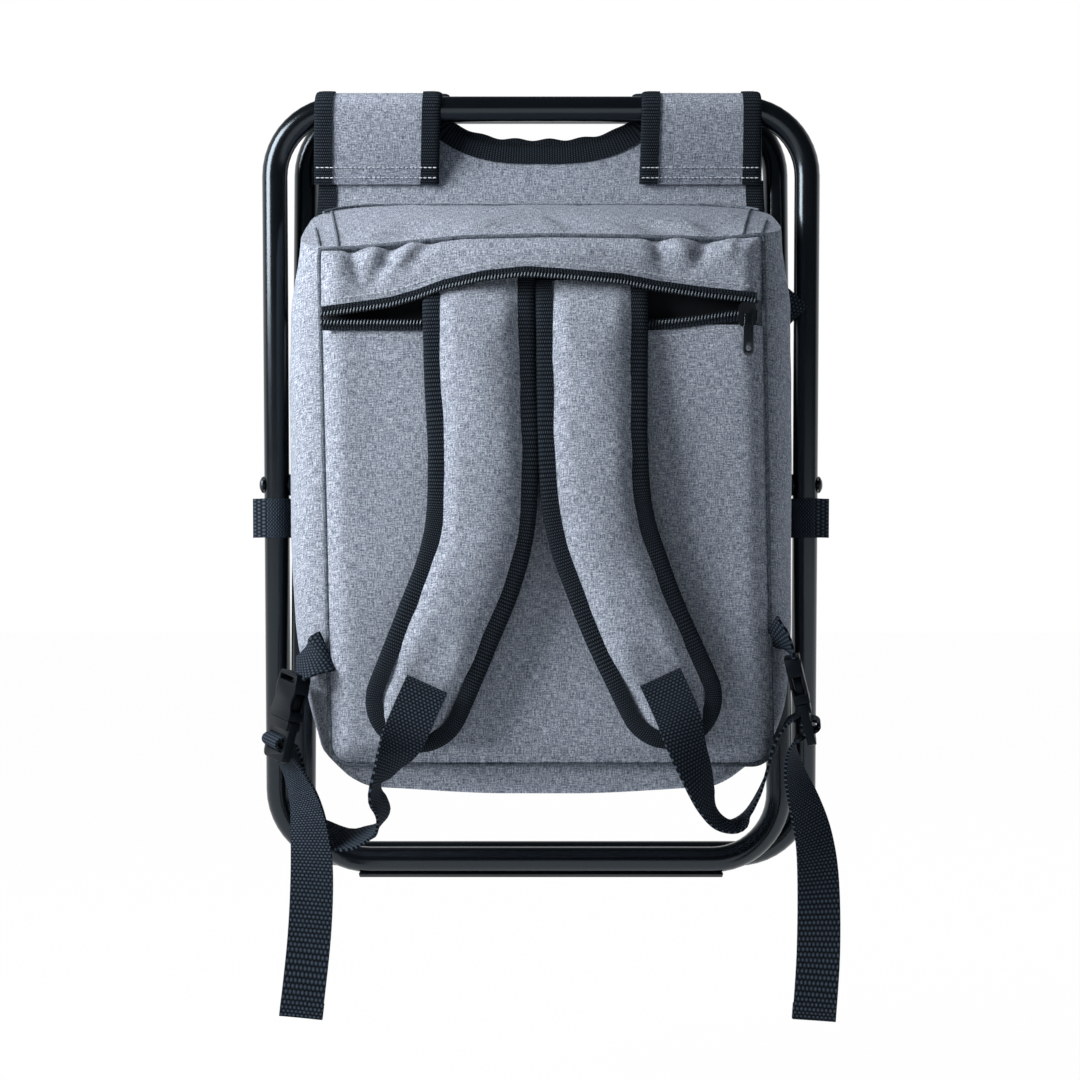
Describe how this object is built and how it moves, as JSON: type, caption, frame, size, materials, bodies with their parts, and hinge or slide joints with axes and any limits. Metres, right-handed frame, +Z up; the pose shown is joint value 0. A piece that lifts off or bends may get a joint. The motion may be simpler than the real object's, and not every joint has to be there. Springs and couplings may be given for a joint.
{
  "type": "folding cooler stool",
  "caption": "Folding tube-frame stool with a sling seat and a soft insulated cooler bag under it, folded flat, with padded shoulder straps to carry it",
  "frame": {"origin": "middle of the carrying grip, midway between the two folded seat bars at the height of the outer bar", "axes": "+Z up along the folded frame, +Y away from the shoulder straps, +X to the right of a viewer facing the straps"},
  "size_m": [0.368, 0.1726, 0.5668],
  "materials": {
    "tube": "black powder coat, semi-gloss",
    "steel": "blackened steel",
    "nylon": "moulded black plastic",
    "cloth": "blue-grey heather polyester",
    "binding": "black ribbed webbing and tape",
    "foam": "closed-cell foam",
    "foil": "silver lining film",
    "zip": "black coil zip"
  },
  "bodies": {
    "outer_frame": {"outer_frame": "tube", "pivot_rivet_left": "steel", "pivot_rivet_right": "steel", "pivot_washer_left": "nylon", "pivot_washer_right": "nylon", "rear_foot_strip": "nylon", "keeper_loop_left": "binding", "keeper_loop_right": "binding"},
    "inner_frame": {"inner_frame": "tube", "front_foot_strip": "nylon"},
    "seat_front": {"seat_front_half": "cloth", "front_tab_left": "cloth", "front_tab_right": "cloth"},
    "seat_rear": {"seat_rear_half": "cloth"},
    "rear_sleeve": {"seat_rear_end": "cloth", "rear_tab_left": "cloth", "rear_tab_right": "cloth"},
    "bag": {"bag_shell": "cloth", "bag_insulation": "foam", "bag_liner": "foil", "strap_pocket_panel": "cloth", "pocket_zip_upper": "zip", "pocket_zip_lower": "zip", "shoulder_pad_left": "cloth", "shoulder_pad_right": "cloth", "strap_webbing_left": "binding", "strap_webbing_right": "binding", "buckle_tether_left": "binding", "buckle_tether_right": "binding", "buckle_socket_left": "nylon", "buckle_socket_right": "nylon", "lid_zip": "zip"},
    "lid": {"cooler_lid": "cloth"},
    "lid_slider": {"lid_slider": "steel"},
    "lid_puller": {"lid_puller": "steel"},
    "pocket_slider": {"pocket_slider": "steel"},
    "pocket_puller": {"pocket_puller": "steel"},
    "buckle_left": {"buckle_plug_left": "nylon", "strap_tail_left": "binding"},
    "buckle_right": {"buckle_plug_right": "nylon", "strap_tail_right": "binding"}
  },
  "joints": [
    {"name": "fold", "type": "hinge", "parent": "outer_frame", "child": "inner_frame", "pos_m": [0, 0, -0.23775], "axis": [-1, 0, 0], "range_deg": [0, 56]},
    {"name": "seat_front", "type": "hinge", "parent": "outer_frame", "child": "seat_front", "pos_m": [0, -0.011, 0], "axis": [1, 0, 0], "range_deg": [0, 32.3]},
    {"name": "seat_rear", "type": "hinge", "parent": "seat_front", "child": "seat_rear", "pos_m": [0, 0, -0.133], "axis": [-1, 0, 0], "range_deg": [0, 119.81]},
    {"name": "rear_sleeve", "type": "hinge", "parent": "inner_frame", "child": "rear_sleeve", "pos_m": [0, 0.01119, 0.004], "axis": [-1, 0, 0], "range_deg": [0, 31.5]},
    {"name": "bag_hang", "type": "hinge", "parent": "seat_front", "child": "bag", "pos_m": [0, -0.003, -0.06], "axis": [-1, 0, 0], "range_deg": [0, 60.3]},
    {"name": "lid", "type": "hinge", "parent": "bag", "child": "lid", "pos_m": [0, -0.01865, -0.397], "axis": [-1, 0, 0], "range_deg": [0, 85]},
    {"name": "lid_zip", "type": "slide", "parent": "bag", "child": "lid_slider", "axis": [0, -0.0464, -0.9989], "range_m": [0, 0.135]},
    {"name": "lid_pull", "type": "hinge", "parent": "lid_slider", "child": "lid_puller", "pos_m": [-0.1205, -0.0008, -0.1906], "axis": [1, 0, 0], "range_deg": [0, 150]},
    {"name": "pocket_zip", "type": "slide", "parent": "bag", "child": "pocket_slider", "axis": [-1, 0, 0], "range_m": [0, 0.045]},
    {"name": "pocket_pull", "type": "hinge", "parent": "pocket_slider", "child": "pocket_puller", "pos_m": [0.118, -0.1266, -0.144], "axis": [-1, 0, 0], "range_deg": [0, 150]},
    {"name": "buckle_left", "type": "slide", "parent": "bag", "child": "buckle_left", "axis": [-0.225, -0.02, -0.9741], "range_m": [0, 0.025], "deforming": ["strap_webbing_left"]},
    {"name": "buckle_right", "type": "slide", "parent": "bag", "child": "buckle_right", "axis": [0.2361, 0.02, -0.9715], "range_m": [0, 0.025], "deforming": ["strap_webbing_right"]}
  ],
  "couplings": [
    {"joint": "seat_front", "follows": "fold", "ratio": 0.57679},
    {"joint": "seat_rear", "follows": "fold", "ratio": 2.1393},
    {"joint": "rear_sleeve", "follows": "fold", "ratio": 0.5625},
    {"joint": "bag_hang", "follows": "fold", "ratio": 1.0768}
  ]
}
